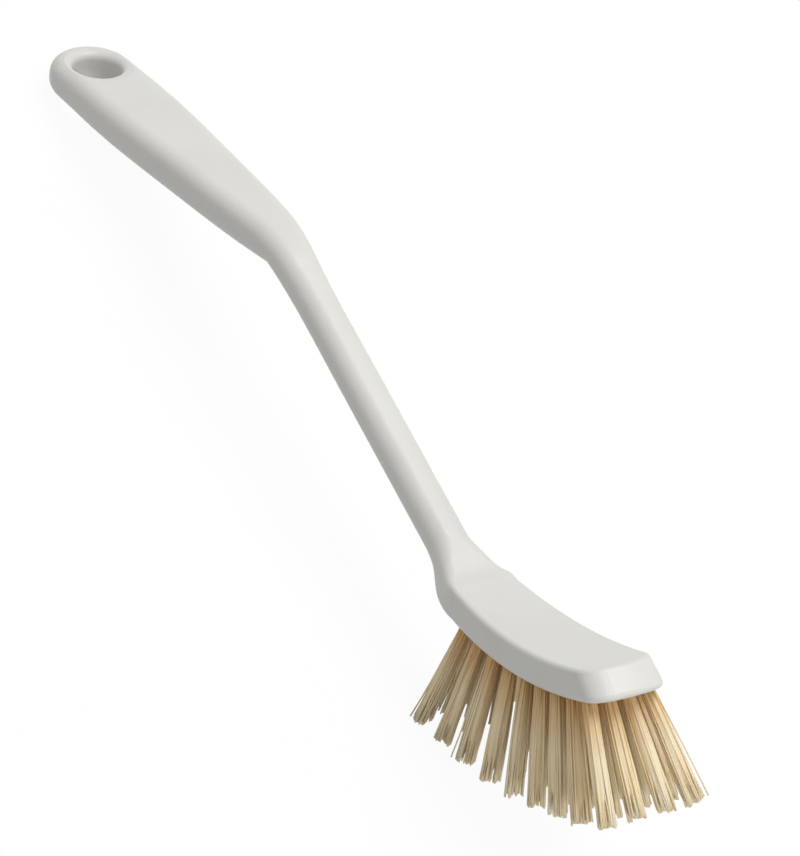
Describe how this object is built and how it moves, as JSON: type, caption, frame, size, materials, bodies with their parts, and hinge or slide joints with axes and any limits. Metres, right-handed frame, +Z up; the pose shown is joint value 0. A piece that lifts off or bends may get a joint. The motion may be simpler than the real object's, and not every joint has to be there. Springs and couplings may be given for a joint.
{
  "type": "dish brush",
  "caption": "Dish brush with a long cranked one-piece handle, a hanging hole and an angled bent head set with fanned tufts of beige bristles.",
  "frame": {"origin": "bottom centre of the bounding box, on the table that the brush stands on", "axes": "+X from the handle's hanging hole towards the head, +Y across the brush, +Z up from the table; the brush stands bristles down, on the end of its handle and its rear tufts"},
  "size_m": [0.2921, 0.0337, 0.0659],
  "materials": {
    "moulding": "satin, warm off-white",
    "bristle": "glossy translucent beige filament",
    "wire": "drawn flat wire"
  },
  "bodies": {
    "root": {"handle": "moulding", "anchors": "wire", "tuft_1_1": "bristle", "tuft_1_2": "bristle", "tuft_1_3": "bristle", "tuft_1_4": "bristle", "tuft_2_1": "bristle", "tuft_2_2": "bristle", "tuft_2_3": "bristle", "tuft_2_4": "bristle", "tuft_3_1": "bristle", "tuft_3_2": "bristle", "tuft_3_3": "bristle", "tuft_3_4": "bristle", "tuft_4_1": "bristle", "tuft_4_2": "bristle", "tuft_4_3": "bristle", "tuft_4_4": "bristle", "tuft_5_1": "bristle", "tuft_5_2": "bristle", "tuft_5_3": "bristle", "tuft_5_4": "bristle", "tuft_6_1": "bristle", "tuft_6_2": "bristle", "tuft_6_3": "bristle", "tuft_6_4": "bristle", "tuft_7_1": "bristle", "tuft_7_2": "bristle", "tuft_7_3": "bristle", "tuft_7_4": "bristle", "tuft_8_1": "bristle", "tuft_8_2": "bristle", "tuft_8_3": "bristle", "tuft_8_4": "bristle", "tuft_9_1": "bristle", "tuft_9_2": "bristle", "tuft_9_3": "bristle", "tuft_9_4": "bristle"}
  },
  "joints": []
}
